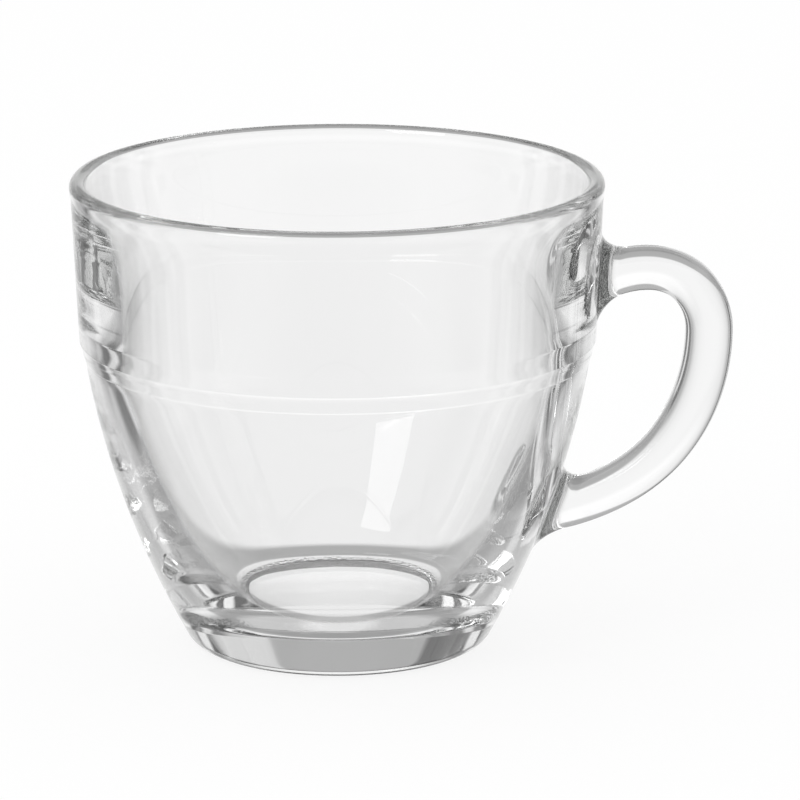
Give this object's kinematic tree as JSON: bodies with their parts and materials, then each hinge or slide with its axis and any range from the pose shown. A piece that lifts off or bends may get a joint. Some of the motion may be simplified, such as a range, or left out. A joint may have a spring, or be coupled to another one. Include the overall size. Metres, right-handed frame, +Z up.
{
  "type": "glass tea cup",
  "caption": "Clear pressed-glass tea cup: rounded bowl with a narrow belt line, thick base with a standing ring, and a bowed side handle.",
  "frame": {"origin": "on the table plane, under the middle of the cup's outline with its handle", "axes": "+Z up along the bowl's axis, +X from the bowl towards the handle, Y across the handle"},
  "size_m": [0.1042, 0.084, 0.0754],
  "materials": {
    "clear_glass": "clear, fire-polished, glossy"
  },
  "bodies": {
    "root": {"bowl": "clear_glass", "handle": "clear_glass"}
  },
  "joints": []
}
